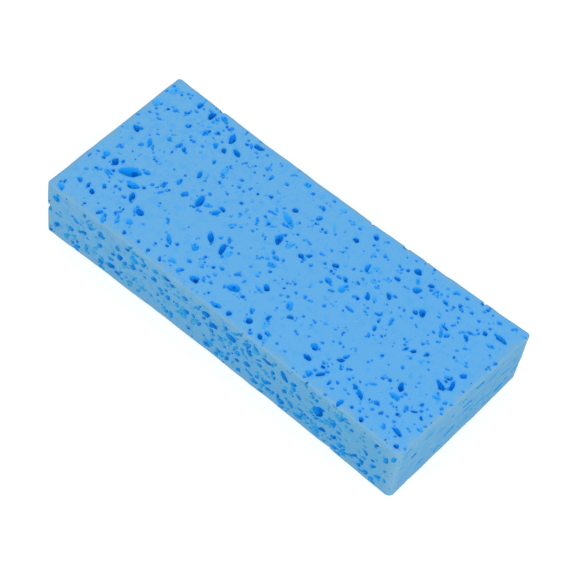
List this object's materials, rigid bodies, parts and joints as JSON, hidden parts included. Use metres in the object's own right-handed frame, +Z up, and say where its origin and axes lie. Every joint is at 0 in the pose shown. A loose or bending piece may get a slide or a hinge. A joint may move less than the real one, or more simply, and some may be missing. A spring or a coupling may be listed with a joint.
{
  "type": "bath sponge",
  "caption": "Soft blue cellulose sponge in the shape of a flat brick, with open cells on every face, for washing and wiping.",
  "frame": {"origin": "on the resting face, under the middle of the brick", "axes": "+X along the length, +Y across the width, +Z up through the thickness"},
  "size_m": [0.1825, 0.0752, 0.0312],
  "materials": {
    "cellulose_foam": "dry regenerated cellulose foam, dyed blue through, knife-cut and matt"
  },
  "bodies": {
    "root": {"sponge": "cellulose_foam"}
  },
  "joints": []
}
